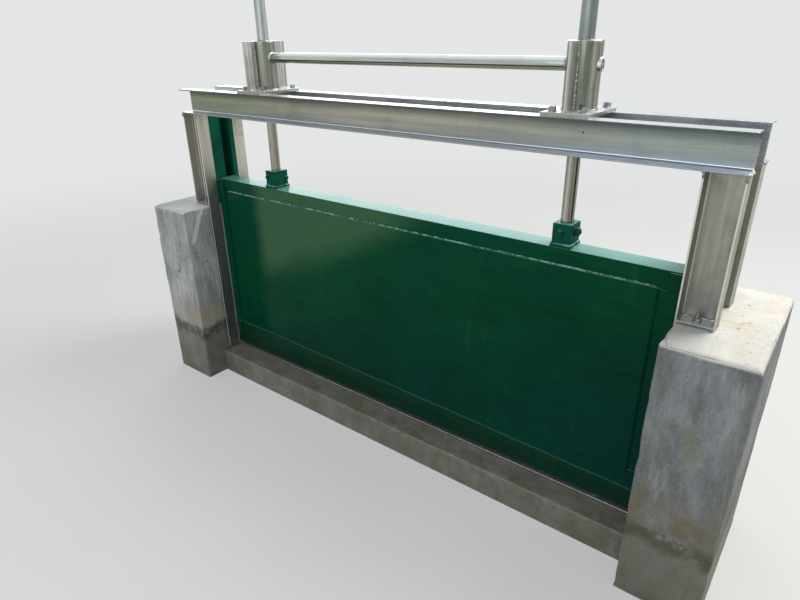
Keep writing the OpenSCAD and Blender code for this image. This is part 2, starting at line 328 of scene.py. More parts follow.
# the wings: the right ones painted lighter than the left, painted light, and vertical bands of painted
# reflection
wingLook = dict(
    housingLook, dark=(0.37, 0.385, 0.35), pale=(0.64, 0.65, 0.61), grimeShare=0.2, rustShare=0.2,
    smooth=0.38, dull=0.48, grain=0.2, front=None, bands=(95, (0.27, 0.265, 0.24), (0.72, 0.73, 0.7)),
    across=((0.72, 0.72, 0.71), (0.72, 0.72, 0.71), (1.17, 1.2, 1.14)))
tubeLook = dict(
    channelLook, grimeShare=0.25, rustShare=0.12, metallic=0.96, cloud=6.0, grain=0.12, paintedTopLightShare=0.9)
# the cross shaft: a pale top, a painted highlight, and a darker underside with a dark line, painted shade
shaftLook = dict(
    tubeLook, dark=(0.42, 0.45, 0.42), pale=(0.6, 0.64, 0.6), smooth=0.13, dull=0.22,
    top=(0.8, 0.9, 0.87), under=((0.055, 0.055, 0.05), (0.4, 0.385, 0.28)))
# the stem covers: the left one painted lighter and the right one darker, painted light and shade
coverLook = dict(
    tubeLook, dark=(0.24, 0.25, 0.235), pale=(0.37, 0.39, 0.37), smooth=0.36, dull=0.46,
    across=((1.28, 1.34, 1.34), (1.28, 1.34, 1.34), (0.64, 0.72, 0.72)))
# the crank end: its lower part painted dark, a painted shade
crankLook = dict(
    tubeLook, dark=(0.68, 0.7, 0.68), pale=(0.84, 0.85, 0.83), smooth=0.3, dull=0.44,
    paintedLowShade=(1.479, 1.488, (0.28, 0.29, 0.29)))
# the stems: the right one painted darker, a painted shade, and vertical bands of painted reflection
stemLook = dict(
    tubeLook, dark=(0.27, 0.255, 0.21), pale=(0.45, 0.43, 0.37), grimeShare=0.35, rustShare=0.2,
    smooth=0.14, dull=0.26, cloud=8.0, grain=0.15, paintedTopLightShare=0.85,
    across=((0.95, 0.94, 0.9), (0.95, 0.94, 0.9), (0.7, 0.7, 0.68)),
    bands=(88, (0.12, 0.105, 0.08), (0.62, 0.62, 0.56)))


# rolled, drawn or brushed steel with streaks along one axis, patches, drips and specks; its edges worn and
# painted pale as highlights, and in some looks bands of painted reflection
def steel(name, look, run):
    s = newShader(name)
    along = {"X": (1.6, 46, 46), "Z": (46, 46, 1.6)}[run]
    streak = s.step(s.streaks(along, 4.0, 0.6), 0.34, 0.66)
    fine = s.streaks(scaled(9, along), 3.0, 0.6)
    cloud = s.noise(look["cloud"], 5.0, 0.62, distortion=0.6)
    drips = s.streaks((19, 19, 1.7), 4.0, 0.6, (3, 1, 2))
    specks = s.step(s.noise(240, 2.0), 0.66, 0.71)
    # edges: worn, and painted pale as highlights
    worn = s.edges(0.0035) * (0.45 + 0.55 * s.step(s.noise(26, 3.0), 0.38, 0.62))
    colour = s.mix(streak * 0.65 + s.step(fine, 0.3, 0.7) * 0.35, look["dark"], look["pale"])
    # painted light and shade: the colour made lighter or darker from left to right
    if look.get("across"):
        left, middle, right = look["across"]
        x = s.axis("X") + (cloud - 0.5) * 0.8
        tone = s.mix(s.step(x, -1.0, -0.1), left, middle)
        colour = s.toned(1.0, colour, s.mix(s.step(x, 0.05, 1.0), tone, right))
    # painted reflection: dark and bright vertical bands
    if look.get("bands"):
        size, shadow, shine = look["bands"]
        band = s.streaks((size, size, 0.8), 2.0, 0.5, (2, 7, 0))
        colour = s.mix(s.fall(band, 0.34, 0.48) * 0.6, colour, shadow)
        colour = s.mix(s.step(band, 0.52, 0.64) * 0.6, colour, shine)
    grime = s.step(cloud, 0.5, 0.72) * look["grimeShare"]
    runs = s.step(drips, 0.57, 0.72) * look["rustShare"]
    rusty = s.step(cloud, 0.6, 0.7) * s.step(s.noise(34, 4.0, 0.7), 0.52, 0.66)
    rusty = ((rusty + specks * 0.5) * look["rustShare"]).clamped()
    colour = s.layered(colour, look, (grime, "grime"), (runs * 0.55, "grime"), (rusty, "rust"),
                       (worn * look["edgeWearAndHighlightShare"], "edge"))
    colour = placedTones(s, look, colour, 1 - grime * 0.5 - rusty * 0.6)
    roughness = look["smooth"] + (look["dull"] - look["smooth"]) * s.step(cloud, 0.3, 0.7)
    roughness = roughness + runs * 0.12 + rusty * 0.25 - streak * 0.04 + (fine - 0.5) * 0.12
    height = (fine * 0.00009 + specks * 0.00008 + rusty * 0.0001 + cloud * 0.0004) * look["grain"]
    return s.surface(colour, roughness, height, {"Metallic": look["metallic"] - rusty * 0.6 - runs * 0.25})


# the painted light and shade that a look gives to single places, and the top faces painted pale, a painted
# highlight
def placedTones(s, look, colour, clean):
    x, y, z = (s.axis(which) for which in "XYZ")
    faceX, faceY, faceZ = (s.facing(which) for which in "XYZ")

    def byHeight(upper, lower):
        return s.mix(s.step(z, look["lower"] - 0.01, look["lower"] + 0.01), lower, upper)

    # painted shade: the colour toned towards the bottom
    if look.get("paintedLowShade"):
        low, high, tone = look["paintedLowShade"]
        colour = s.toned(s.fall(z, low, high), colour, tone)
    # painted shade on faces that look to -Y
    if look.get("front"):
        colour = s.toned(s.fall(faceY, -0.8, -0.55), colour, look["front"])
    # painted light: the left posts' faces that look to the right are brightened, most in their hollow, with a
    # painted highlight line along it, and so are the right back posts' faces that look to the right
    if look.get("inward"):
        inward = look["inward"]
        toRight = s.step(faceX, 0.6, 0.8)
        bright = scaled(inward["highlightLineGain"], inward["hollow"])
        hollow = s.mix(s.between(y, *inward["line"]), inward["hollow"], bright)
        outer = s.mix(s.step(z, *inward["outerFoot"]), (1.0, 1.0, 1.0), inward["outer"])
        tone = s.mix(s.step(x, *inward["hollowEnd"]), hollow, outer)
        colour = s.toned(toRight * s.fall(x, *inward["leftPosts"]), colour, tone)
        farPost = s.step(x, *inward["rightPosts"]) * s.step(y, *inward["backPosts"])
        colour = s.toned(toRight * farPost, colour, inward["outer"])
    # top faces painted pale as if lit from above, a painted highlight, less where there is grime or rust
    up = s.step(faceZ, 0.3, 0.9)
    colour = s.mix(up * clean * look["paintedTopLightShare"], colour, look["top"])
    # painted shade: a dark painted line on faces that begin to turn down, and a darker tone on those that look
    # further down
    if look.get("under"):
        line, paintedLowShade = look["under"]
        colour = s.mix(s.fall(faceZ, -0.55, -0.3), colour, paintedLowShade)
        colour = s.mix(s.between(faceZ, -0.52, -0.42, -0.3, -0.18), colour, line)
    if look.get("shadow"):
        low, high, tone = look["shadow"]
        depth = s.step(z, low, high) * s.fall(abs(y), look["toeReach"] - 0.006, look["toeReach"])
        colour = s.toned(depth * (1 - up), colour, tone)
    # painted reflection on rounded corners: one colour above the given height, another below
    if look.get("rim"):
        corner = s.between(abs(faceZ), 0.1, 0.3, 0.62, 0.8)
        colour = s.mix(corner * 0.9, colour, byHeight(*look["rim"]))
    # a painted highlight on upright corners
    if look.get("fillet"):
        corner = s.step(abs(faceX), 0.12, 0.4) * s.step(abs(faceY), 0.12, 0.4)
        colour = s.mix(corner * 0.75, colour, look["fillet"])
    # a painted highlight or shade on the flange tips, by height
    if look.get("toe"):
        toes = s.step(abs(y), look["toeReach"], look["toeReach"] + 0.001) * s.step(abs(faceY), 0.5, 0.8)
        colour = s.mix(toes * 0.85, colour, byHeight(*look["toe"]))
    return colour


beadLook = {"dark": (0.2, 0.19, 0.165), "pale": (0.55, 0.55, 0.51), "burnt": (0.15, 0.13, 0.11)}


def weldMetal(name, look):
    s = newShader(name)
    blot = s.noise(46, 4.0, 0.6)
    shine = s.step(s.noise(210, 3.0), 0.4, 0.66)
    colour = s.mix(shine, look["dark"], look["pale"])
    colour = s.mix(s.step(blot, 0.52, 0.68) * 0.7, colour, look["burnt"])
    metallic = 0.85 - s.step(blot, 0.5, 0.7) * 0.4
    return s.surface(colour, 0.26 + blot * 0.32, s.noise(520, 2.0) * 0.0002, {"Metallic": metallic})


# the enamel; where it has a tide line it also has a painted sheen on its upper left, painted shade darker and
# bluer towards the lower right, and less dust and sheen at the left end of its top, a painted shade there
enamelLook = {
    "deep": (0.0005, 0.044, 0.0185), "fresh": (0.0008, 0.072, 0.03), "tealSheen": (0.0006, 0.056, 0.036),
    "chalk": (0.03, 0.115, 0.07), "chip": (0.05, 0.13, 0.075), "gloss": 0.035, "smooth": 0.1, "dull": 0.34,
    "dustAndSheen": (0.2, 0.5, 0.45), "dustAndSheenShare": 0.8, "dustAndSheenFrom": (0.55, 0.95), "dustAndSheenPatch": (7, 0.86),
    "farDustAndSheen": (0.34, 0.64, 0.6), "farDustAndSheenFrom": (0.45, 0.85), "shadedTopEnd": (-0.96, -0.84),
    "paintedSheen": (0.062, 0.152, 0.078), "paintedSheenShare": 0.78, "paintedSheenCorner": (-0.73, 0.56), "paintedSheenSlope": 0.434,
    "fadeFrom": (-0.8, -0.7), "fadeTo": (-0.1, 0.25), "shade": (0.72, 0.74, 0.98), "shadeUpTo": (0.16, 0.8),
    "shadeSlope": 0.22, "halfSpan": 0.96, "tideLeft": 0.25, "tideRight": 0.206, "scum": (0.035, 0.13, 0.082),
    "slime": (0.016, 0.038, 0.017),
}
guideLook = dict(enamelLook, deep=(0.003, 0.075, 0.042), fresh=(0.006, 0.15, 0.088))
blockLook = dict(enamelLook, gloss=0.009, deep=(0.0025, 0.052, 0.031), fresh=(0.006, 0.095, 0.06))
# the beads' tops: pale with dust and a painted highlight
paintedBeadLook = dict(enamelLook, dustAndSheen=(0.34, 0.68, 0.6), dustAndSheenShare=1.0, dustAndSheenFrom=(0.05, 0.6),
                       dustAndSheenPatch=(44, 0.15))


# glossy brushed-on enamel with brush ripple, chalking, dust and a painted sheen on top faces, and a tide line
def enamel(name, look, tide=False, shabby=1.0):
    s = newShader(name)
    x, z = s.axis("X"), s.axis("Z")
    cloud = s.noise(2.4, 5.0, 0.6, distortion=0.5)
    ripple = s.streaks((5, 30, 34), 4.0, 0.6)
    peel = s.noise(150, 2.0)
    streaks = s.streaks((30, 30, 2.0), 5.0, 0.62, (1, 4, 0))
    uneven = s.step(cloud, 0.32, 0.68) * 0.6 + s.step(ripple, 0.3, 0.7) * 0.4
    colour = s.mix(uneven, look["deep"], look["fresh"])
    if tide:
        # painted reflection: broad patches of teal
        colour = s.mix(s.step(s.noise(1.5, 3.0, 0.5, distortion=0.8), 0.44, 0.6) * 0.6, colour, look["tealSheen"])
        # a painted sheen on the upper left, a lighter olive in a slanting patch
        cornerX, cornerZ = look["paintedSheenCorner"]
        slant = z - cornerZ - (x - cornerX) * look["paintedSheenSlope"] + (cloud - 0.5) * 0.16
        paintedSheen = s.step(slant, -0.06, 0.1) * s.step(x + (cloud - 0.5) * 0.06, *look["fadeFrom"])
        paintedSheen = paintedSheen * s.fall(x, *look["fadeTo"]) * look["paintedSheenShare"]
        colour = s.mix(paintedSheen, colour, look["paintedSheen"])
        # painted shade, darker and bluer towards the lower right
        colour = s.toned(s.fall(z - x * look["shadeSlope"], *look["shadeUpTo"]), colour, look["shade"])
    chalky = s.step(streaks, 0.54, 0.76) * s.step(cloud, 0.4, 0.62) * (0.34 * shabby)
    colour = s.mix(chalky, colour, look["chalk"])
    # top faces: dust and a pale painted sheen, paler towards the right end; on the leaf and guides less of it
    # at the left end, a painted shade
    up = s.step(s.facing("Z"), *look["dustAndSheenFrom"])
    patch, least = look["dustAndSheenPatch"]
    dustAndSheenMask = up * (least + (1 - least) * s.step(s.noise(patch, 5.0, 0.65), 0.42, 0.6)) * look["dustAndSheenShare"]
    dustAndSheen = look["dustAndSheen"]
    if tide:
        dustAndSheenMask = dustAndSheenMask * (0.45 + 0.55 * s.step(x, *look["shadedTopEnd"]))
        dustAndSheen = s.mix(s.step(x, *look["farDustAndSheenFrom"]), dustAndSheen, look["farDustAndSheen"])
    colour = s.mix(dustAndSheenMask, colour, dustAndSheen)
    worn = s.edges(0.003) * s.step(s.noise(30, 4.0, 0.65), 0.46, 0.62) * shabby
    chip = s.step(s.noise(70, 3.0), 0.72, 0.745) * s.step(cloud, 0.48, 0.6) * (0.8 * shabby)
    colour = s.layered(colour, look, (worn * 0.45, "chalk"), (chip, "chip"))
    roughness = look["smooth"] + (look["dull"] - look["smooth"]) * (s.step(cloud, 0.4, 0.7) * 0.35 + chalky)
    roughness = roughness + dustAndSheenMask * 0.35 + chip * 0.4 + worn * 0.2
    if tide:
        slope = (look["tideRight"] - look["tideLeft"]) / (2 * look["halfSpan"])
        middle = (look["tideLeft"] + look["tideRight"]) / 2
        line = z - x * slope - middle + (s.noise(6, 4.0) - 0.5) * 0.012
        scum = s.fall(abs(line), 0.0012, 0.0065) * (0.35 + 0.5 * s.noise(22, 3.0))
        slime = s.fall(line, -0.03, 0.008) * (0.25 + 0.3 * s.step(s.noise(14, 5.0, 0.7), 0.4, 0.6))
        colour = s.layered(colour, look, (slime.clamped(), "slime"), (scum.clamped(), "scum"))
        roughness = roughness + scum * 0.3 + slime * 0.22
    height = ripple * 0.00045 + cloud * 0.0007 + peel * 0.00005 - chip * 0.00012
    coat = 0.024 + up * 0.236 - chip * 0.5 - chalky * 0.3
    return s.surface(colour, roughness, height, {"Coat Weight": coat.clamped(), "Coat Roughness": 0.06,
                                                 "Specular IOR Level": look["gloss"]})


concreteLook = {
    "pale": (0.72, 0.71, 0.655), "grey": (0.5, 0.515, 0.5), "beige": (0.63, 0.53, 0.41),
    "washed": (0.78, 0.77, 0.71), "pit": (0.17, 0.16, 0.14), "crack": (0.13, 0.12, 0.1),
    "shadedSideDark": (0.2, 0.215, 0.23), "shadedSidePale": (0.5, 0.52, 0.52), "trowel": (0.6, 0.62, 0.62),
    "lichen": (0.16, 0.175, 0.085), "lichenShare": 0.35, "wetTop": 0.26, "wet": (0.15, 0.145, 0.11),
    "silt": (0.4, 0.35, 0.275), "algae": (0.055, 0.06, 0.028), "moss": (0.085, 0.085, 0.042),
}
# the left pier's concrete is painted paler, as if sunlit, and the right pier's sides darker, as if in shade,
# with more silt and lichen
# the scar is a smear of mortar: its ends in Y and Z, and half its width
sunnyLook = dict(
    concreteLook, pale=(0.8, 0.82, 0.81), grey=(0.66, 0.685, 0.7),
    scar={"top": (-0.16, 0.872), "foot": (-0.238, 0.69), "half": 0.0115, "colour": (0.76, 0.74, 0.66)})
shadedLook = dict(
    concreteLook, shadedSideDark=(0.052, 0.062, 0.073), shadedSidePale=(0.18, 0.21, 0.232), trowel=(0.31, 0.345, 0.36),
    silt=(0.155, 0.135, 0.085), lichenShare=0.8)


def concrete(name, look):
    s = newShader(name)
    y, z = s.axis("Y"), s.axis("Z")
    broad = s.noise(3.0, 6.0, 0.62, distortion=0.4)
    blotch = s.noise(11, 5.0, 0.65)
    grain = s.noise(300, 3.0, 0.7)
    sand = s.noise(900, 2.0, 0.6)
    colour = s.mix(s.step(broad, 0.34, 0.66), look["grey"], look["pale"])
    colour = s.mix(s.step(blotch, 0.48, 0.68) * 0.7, colour, look["beige"])
    # painted shade: side faces take darker tones than the tops, with the trowel strokes in those shaded tones
    side = s.fall(abs(s.facing("Z")), 0.3, 0.7)
    smears = s.streaks((8.5, 8.5, 3.4), 7.0, 0.74, turn=(0.25, 0.2, 0.1), distortion=0.15)
    shade = s.mix(s.step(smears, 0.38, 0.62), look["shadedSideDark"], look["shadedSidePale"])
    strokes = s.streaks((26, 26, 5), 6.0, 0.68, turn=(0.5, 0.6, 0.3))
    shade = s.layered(shade, look, (s.step(strokes, 0.52, 0.68) * 0.6, "trowel"),
                      (s.fall(strokes, 0.3, 0.46) * 0.5, "shadedSideDark"))
    colour = s.mix(side * 0.88, colour, shade)
    lichen = s.step(s.streaks((5.5, 5.5, 3.85), 7.0, 0.75, (22, 5.5, 16.5)), 0.52, 0.66)
    colour = s.mix(lichen * side * look["lichenShare"] * 0.7, colour, look["lichen"])
    if look.get("scar"):
        scar = look["scar"]
        (y0, z0), (y1, z1) = scar["top"], scar["foot"]
        span = math.hypot(y1 - y0, z1 - z0)
        off = abs((y - y0) * ((z1 - z0) / span) - (z - z0) * ((y1 - y0) / span)) + (blotch - 0.5) * 0.008
        smear = s.fall(off, scar["half"] * 0.8, scar["half"] * 1.15) * s.step(z, z1, z1 + 0.02) * side
        colour = s.mix(smear * 0.85, colour, scar["colour"])
    crumbs = s.step(s.noise(80, 5.0, 0.75), 0.6, 0.67) * s.step(s.noise(9, 5.0, 0.7), 0.46, 0.6)
    bleached = s.step(grain, 0.42, 0.62) * (0.3 - side * 0.2)
    pits = s.node("TexVoronoi", {"feature": "F1"}, {"Vector": s.place(), "Scale": 95, "Randomness": 1.0})
    pitted = s.fall(pits, 0.1, 0.22) * s.step(s.noise(17, 3.0), 0.5, 0.6)
    warped = s.node("VectorMath", {"operation": "MULTIPLY_ADD"},
                    {0: s.noise(7.0, 5.0, 0.5, out="Color"), 1: (0.16, 0.16, 0.16), 2: s.place()})
    gap = s.node("TexVoronoi", {"feature": "DISTANCE_TO_EDGE"}, {"Vector": warped, "Scale": 2.7})
    crack = s.fall(gap, 0.0, 0.006) * s.step(s.noise(2.1, 2.0), 0.5, 0.56)
    runs = s.step(s.streaks((15, 15, 1.2), 5.0, 0.65, (2, 5, 0)), 0.52, 0.68) * side
    aboveWet = z + (s.noise(9, 5.0, 0.65) - 0.5) * 0.12 - look["wetTop"]
    silted = s.between(aboveWet, -0.01, 0.03, 0.07, 0.19) * side * (0.45 + 0.5 * s.step(blotch, 0.4, 0.62))
    soaked = s.fall(aboveWet, -0.05, 0.02)
    algae = s.fall(abs(aboveWet + 0.02), 0.01, 0.052) * s.step(s.noise(24, 6.0, 0.7), 0.3, 0.54)
    mossy = s.fall(aboveWet, -0.2, 0.0) * s.step(s.noise(10, 7.0, 0.75), 0.32, 0.72)
    # edges painted washed pale: wear and a painted highlight
    worn = s.edges(0.006) * s.step(s.noise(40, 4.0, 0.7), 0.4, 0.6)
    colour = s.layered(colour, look, (crumbs * 0.75, "pit"), (bleached, "washed"), (pitted * 0.75, "pit"),
                       (crack * 0.7, "crack"), (runs * 0.5, "wet"), (silted, "silt"), (soaked * 0.75, "wet"),
                       (algae * 0.85, "algae"), (mossy * 0.75, "moss"), (worn * 0.5, "washed"))
    relief = broad * 0.004 + blotch * 0.0016 + strokes * 0.0016 * side - crumbs * 0.0008
    relief = relief + grain * 0.0006 + sand * 0.00022 - pitted * 0.0014 - crack * 0.001
    roughness = 0.93 - soaked * 0.35 + (grain - 0.5) * 0.1
    return s.surface(colour, roughness, relief)


rubberLook = {"black": (0.012, 0.014, 0.013), "grey": (0.04, 0.046, 0.038), "scuff": (0.1, 0.11, 0.085)}


def rubber(name, look):
    s = newShader(name)
    cloud = s.noise(9, 5.0, 0.6)
    scuff = s.step(s.streaks((60, 60, 5), 4.0, 0.6), 0.55, 0.72)
    colour = s.mix(s.step(cloud, 0.4, 0.7), look["black"], look["grey"])
    colour = s.mix(scuff * 0.4, colour, look["scuff"])
    height = cloud * 0.0004 + s.noise(340, 3.0) * 0.00012
    return s.surface(colour, 0.5 + scuff * 0.22 + cloud * 0.12, height)


boltLook = {"zinc": (0.46, 0.465, 0.46), "dull": (0.27, 0.265, 0.25), "rust": (0.14, 0.095, 0.06)}


def boltSteel(name, look):
    s = newShader(name)
    cloud = s.noise(120, 4.0, 0.6)
    rusty = s.step(s.noise(75, 5.0, 0.7), 0.54, 0.66)
    colour = s.mix(s.step(cloud, 0.35, 0.65), look["dull"], look["zinc"])
    colour = s.mix(rusty * 0.7, colour, look["rust"])
    roughness = 0.34 + rusty * 0.35 + cloud * 0.1
    return s.surface(colour, roughness, cloud * 0.0003, {"Metallic": 0.85 - rusty * 0.6})


plateLook = dict(channelLook, cloud=12.0, grimeShare=0.6, rustShare=0.5)
# each finish and the slot it belongs to
finish = {
    "beam": (steel("rolledChannelBeam", beamLook, "X"), "stainless"),
    "backBeam": (steel("rolledChannelBack", backBeamLook, "X"), "stainless"),
    "post": (steel("rolledChannelPost", postLook, "Z"), "stainless"),
    "plate": (steel("platedSteel", plateLook, "X"), "stainless"),
    "housing": (steel("housingPipe", housingLook, "Z"), "stainless"),
    "wing": (steel("housingWing", wingLook, "Z"), "stainless"),
    "shaft": (steel("drawnTube", shaftLook, "X"), "polished_steel"),
    "crank": (steel("crankEnd", crankLook, "X"), "polished_steel"),
    "cover": (steel("coverTube", coverLook, "Z"), "polished_steel"),
    "stem": (steel("drawnBar", stemLook, "Z"), "polished_steel"),
    "bead": (weldMetal("weldBead", beadLook), "stainless"),
    "bolt": (boltSteel("boltSteel", boltLook), "stainless"),
    "leaf": (enamel("leafEnamel", enamelLook, tide=True), "green_paint"),
    "guide": (enamel("guideEnamel", guideLook, tide=True, shabby=1.3), "green_paint"),
    "block": (enamel("blockEnamel", blockLook), "green_paint"),
    "paintedBead": (enamel("paintedBead", paintedBeadLook, shabby=0.2), "green_paint"),
    "concrete": (concrete("trowelledConcrete", concreteLook), "concrete"),
    "shadedConcrete": (concrete("shadedConcrete", shadedLook), "concrete"),
    "sunnyConcrete": (concrete("sunnyConcrete", sunnyLook), "concrete"),
    "rubber": (rubber("sealRubber", rubberLook), "rubber"),
}
print("stage: finishes made:", len(finish))


def circle(radius, z, count):
    turns = [2 * math.pi * i / count for i in range(count)]
    return [(radius * math.cos(t), radius * math.sin(t), z) for t in turns]


# solids made of rings of points, many to a mesh
class Stock:
    def __init__(self):
        self.points = []
        self.faces = []

    # joins the rings; a loop closes on itself, anything else gets flat caps
    def skin(self, rings, place=Matrix(), loop=False):
        first = len(self.points)
        count = len(rings[0])
        for ring in rings:
            self.points.extend(place @ Vector(point) for point in ring)
        spans = len(rings) if loop else len(rings) - 1
        for row in range(spans):
            a = first + row * count
            b = first + (row + 1) % len(rings) * count
            for i in range(count):
                j = (i + 1) % count
                self.faces.append((a + i, a + j, b + j, b + i))
        if not loop:
            self.faces.append(tuple(first + i for i in reversed(range(count))))
            self.faces.append(tuple(first + (len(rings) - 1) * count + i for i in range(count)))

    # a profile of (radius, height) turned about the place's Z
    def turned(self, profile, place, count):
        self.skin([circle(r, z, count) for r, z in profile], place)

    # a hexagon with its top corners chamfered
    def hexagon(self, place, across, height, base):
        inner = across / 2
        chamfer = inner * 0.97
        turns = [2 * math.pi * i / 48 for i in range(48)]
        reach = [inner / math.cos((t + math.pi / 6) % (math.pi / 3) - math.pi / 6) for t in turns]

        def ring(radii, heights):
            return [(r * math.cos(t), r * math.sin(t), z) for r, t, z in zip(radii, turns, heights)]

        top = base + height
        slope = [top - max(0, r - chamfer) * 0.6 for r in reach]
        self.skin([ring(reach, [base] * 48), ring(reach, slope), ring([chamfer] * 48, [top] * 48),
                   ring([chamfer * 0.5] * 48, [top + height * 0.01] * 48)], place)

    def washer(self, place, outer, inner, thick):
        edge = thick * 0.2
        profile = ((inner, 0), (outer, 0), (outer, thick - edge), (outer - edge, thick), (inner, thick))
        self.skin([circle(r, z, 40) for r, z in profile], place, loop=True)

    # a threaded end with a chamfered tip
    def thread(self, place, across, length, pitch=0.0015):
        root = across / 2 - pitch * 0.5
        steps = max(2, int(length / pitch))
        profile = [(root, 0)]
        for i in range(steps):
            crest = across / 2
            profile += [(crest, (i + 0.35) * pitch), (crest, (i + 0.5) * pitch), (root, (i + 0.95) * pitch)]
        profile.append((root - 0.0008, steps * pitch + 0.0008))
        self.turned(profile, place, 24)

    # an uneven weld bead laid along a line of points
    def bead(self, path, radius, seed, up=(0, 0, 1), loop=False):
        spacing = radius * 0.42
        line = resampled(path, spacing, loop)
        up = Vector(up)
        rings = []
        for i, point in enumerate(line):
            before = line[i - 1] if i or loop else point
            after = line[(i + 1) % len(line)] if i < len(line) - 1 or loop else point
            ahead = (after - before).normalized()
            aside = ahead.cross(up).normalized()
            rise = aside.cross(ahead)
            run = i * spacing
            ripple = abs(math.sin(math.pi * run / (1.45 * radius) + noise.noise(Vector((run * 30, seed, 4)))))
            size = radius * (0.8 + 0.18 * ripple + 0.26 * noise.noise(Vector((run * 70, seed, 0))))
            if not loop and min(i, len(line) - 1 - i) == 0:
                size *= 0.45
            wander = 0.28 * radius * noise.noise(Vector((run * 40, 9, seed)))
            rings.append([point + aside * (size * math.cos(t) + wander) + rise * size * math.sin(t)
                          for t in (2 * math.pi * k / 8 for k in range(8))])
        self.skin(rings, loop=loop)

    # loose drops of weld metal beside a bead
    def spatter(self, places, size, seed):
        chance = random.Random(seed)
        for place in places:
            r = size * chance.uniform(0.4, 1.0)
            spot = Matrix.Translation(place)
            self.turned([(r * 0.7, -r * 0.8), (r, -r * 0.1), (r * 0.75, r * 0.5), (r * 0.2, r * 0.8)], spot, 8)

    def mesh(self, name):
        made = bpy.data.meshes.new(name)
        made.from_pydata(self.points, [], self.faces)
        shape = bmesh.new()
        shape.from_mesh(made)
        bmesh.ops.recalc_face_normals(shape, faces=shape.faces)
        shape.to_mesh(made)
        shape.free()
        return made


def resampled(path, spacing, loop):
    ends = [Vector(point) for point in path]
    if loop:
        ends.append(ends[0])
    line = []
    for a, b in zip(ends, ends[1:]):
        count = max(1, round((b - a).length / spacing))
        line += [a.lerp(b, i / count) for i in range(count)]
    return line if loop else line + [ends[-1]]


def circlePath(centre, radius):
    return [Vector(centre) + Vector(point) for point in circle(radius, 0, 48)]


def aimed(place, axis, spin=0.0):
    turn = Vector(axis).to_track_quat("Z", "Y").to_matrix().to_4x4()
    return Matrix.Translation(place) @ turn @ Matrix.Rotation(spin, 4, "Z")


def addPiece(name, mesh, look, body, sharp=32):
    material, usualSlot = finish[look]
    mesh.materials.clear()
    mesh.materials.append(material)
    mesh.polygons.foreach_set("use_smooth", [True] * len(mesh.polygons))
    mesh.set_sharp_from_angle(angle=math.radians(sharp))
    piece = bpy.data.objects.new(name, mesh)
    scene.collection.objects.link(piece)
    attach(piece, body)
    return piece


# several solids made here as one piece
def addStock(name, stock, look, body, sharp=32):
    addPiece(name, stock.mesh(name), look, body, sharp)


# a copy of a CAD node's mesh with its flats whole again
def cleanCopy(node):
    shape = bmesh.new()
    shape.from_mesh(cad[node].data)
    bmesh.ops.remove_doubles(shape, verts=shape.verts, dist=1e-6)
    bmesh.ops.dissolve_limit(shape, angle_limit=math.radians(0.6), verts=shape.verts, edges=shape.edges)
    return shape


# how wide the corners of each finish are eased; the tubes' are finer
cornerWidth = {"beam": 0.002, "backBeam": 0.002, "post": 0.002, "block": 0.0022, "leaf": 0.0016,
               "rubber": 0.0016, "plate": 0.001, "wing": 0.001, "guide": 0.001}
tubeCorner = 0.0008


# stands for a CAD node: the same solid with its corners eased
def softened(node, look, hole=None):
    piece = addPiece(node + "_finish", meshOf(cleanCopy(node), node + "_finish"), look, bodyOf[node])
    if hole:
        place, axis, across = hole
        drill = Stock()
        drill.turned([(across / 2, -0.02), (across / 2, 0.02)], aimed(place, axis), 24)
        cutter = bpy.data.objects.new("drill", drill.mesh("drill"))
        scene.collection.objects.link(cutter)
        cut = piece.modifiers.new("hole", "BOOLEAN")
        cut.object = cutter
        cut.solver = "EXACT"
    ease = piece.modifiers.new("ease", "BEVEL")
    ease.width = cornerWidth.get(look, tubeCorner)
    ease.segments = 3 if look in cornerWidth else 2
    ease.limit_method = "ANGLE"
    ease.angle_limit = math.radians(35)
    level = piece.modifiers.new("level", "WEIGHTED_NORMAL")
    level.keep_sharp = True
    bpy.context.view_layer.update()
    seen = bpy.context.evaluated_depsgraph_get()
    shaped = bpy.data.meshes.new_from_object(piece.evaluated_get(seen))
    piece.modifiers.clear()
    piece.data = shaped
    if hole:
        bpy.data.objects.remove(cutter)
    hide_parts(node)


sides = {"left": -1, "right": 1}
packingLook = {"inset": 0.0006, "thick": 0.0065, "foot": 0.002}


# a bar welded between a guide and the posts on both sides of it closes the joint
def packGuide(side):
    low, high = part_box(f"guide_{side}")
    inner = sides[side] * min(abs(low.x), abs(high.x))
    x0 = inner + sides[side] * packingLook["inset"]
    x1 = x0 + sides[side] * packingLook["thick"]
    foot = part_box(f"pier_{side}")[1].z - packingLook["foot"]
    bars = Stock()
    for y0, y1 in ((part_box(f"front_post_{side}")[1].y, low.y), (high.y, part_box(f"back_post_{side}")[0].y)):
        bars.skin([[(x0, y0, z), (x1, y0, z), (x1, y1, z), (x0, y1, z)] for z in (foot, high.z)])
    addStock(f"guide_packing_{side}", bars, "guide", "frame")


sideFinish = {
    "front_post": "post", "foot_plate_front": "plate", "back_post": "post", "foot_plate_back": "plate",
    "base_plate": "plate", "housing_wings": "wing", "gear_housing": "housing", "housing_lid": "housing",
    "stem_cover": "cover", "stem": "stem", "guide": "guide", "coupling": "block", "leaf_stile": "leaf",
    "side_seal": "leaf", "guide_shoe": "leaf",
}
middleFinish = {
    "leaf_skin": "leaf", "leaf_top_rail": "leaf", "leaf_bottom_rail": "leaf", "leaf_ribs": "leaf",
    "leaf_cross_ribs": "leaf", "cross_shaft": "shaft", "crank_end": "crank", "bottom_seal": "rubber",
    "sill_plate": "plate",
}
webHole = ((0.6941, -0.067, 1.318), (0, 1, 0), 0.0045)  # an old drilled hole in the front beam's web
softened("front_beam", "beam", webHole)
softened("back_beam", "backBeam")
for side in sides:
    packGuide(side)
    for part, look in sideFinish.items():
        softened(f"{part}_{side}", look)
for node, look in middleFinish.items():
    softened(node, look)
print("stage: steel, enamel and rubber pieces eased")

